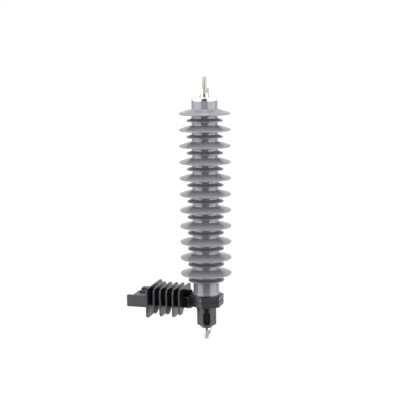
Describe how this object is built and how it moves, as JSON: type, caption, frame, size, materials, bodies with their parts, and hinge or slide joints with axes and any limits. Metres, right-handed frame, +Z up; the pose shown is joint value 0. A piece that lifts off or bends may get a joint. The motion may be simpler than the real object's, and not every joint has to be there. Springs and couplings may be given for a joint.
{
  "type": "distribution surge arrester",
  "caption": "Polymer-housed distribution surge arrester with alternating sheds, on a finned insulating bracket with an earth-lead disconnector below.",
  "frame": {"origin": "mouth of the threaded insert in the bracket's end face", "axes": "+Z up along the arrester, +X from the insert along the bracket to the arrester"},
  "size_m": [0.2184, 0.104, 0.5389],
  "materials": {
    "silicone": "moulded silicone rubber, satin grey",
    "black_moulding": "glass-filled black moulding, semi-gloss",
    "aluminium": "turned aluminium",
    "stainless": "bright stainless steel",
    "spring_steel": "spring steel",
    "fibreglass": "glass-fibre reinforced epoxy",
    "varistor": "sintered zinc oxide with glazed rim",
    "resistor": "fired resistive ceramic",
    "brass": "turned brass"
  },
  "bodies": {
    "root": {"bottom_electrode": "aluminium", "bracket": "black_moulding", "coupling_stud": "stainless", "disc_spring_1": "spring_steel", "disc_spring_2": "spring_steel", "disconnector_body": "black_moulding", "disconnector_cartridge": "brass", "disconnector_lid": "stainless", "earth_nut": "stainless", "earth_spring_washer": "stainless", "earth_stud": "stainless", "earth_washer": "stainless", "fibreglass_tube": "fibreglass", "grading_resistor": "resistor", "line_nut": "stainless", "line_spring_washer": "stainless", "line_stud": "stainless", "line_washer_lower": "stainless", "line_washer_upper": "stainless", "mount_insert": "brass", "pressure_plate": "aluminium", "silicone_housing": "silicone", "spacer_disc_1": "aluminium", "spacer_disc_2": "aluminium", "top_electrode": "aluminium", "varistor_block_01": "varistor", "varistor_block_02": "varistor", "varistor_block_03": "varistor", "varistor_block_04": "varistor", "varistor_block_05": "varistor", "varistor_block_06": "varistor", "varistor_block_07": "varistor", "varistor_block_08": "varistor", "varistor_block_09": "varistor", "varistor_block_10": "varistor", "varistor_block_11": "varistor", "varistor_block_12": "varistor"}
  },
  "joints": []
}
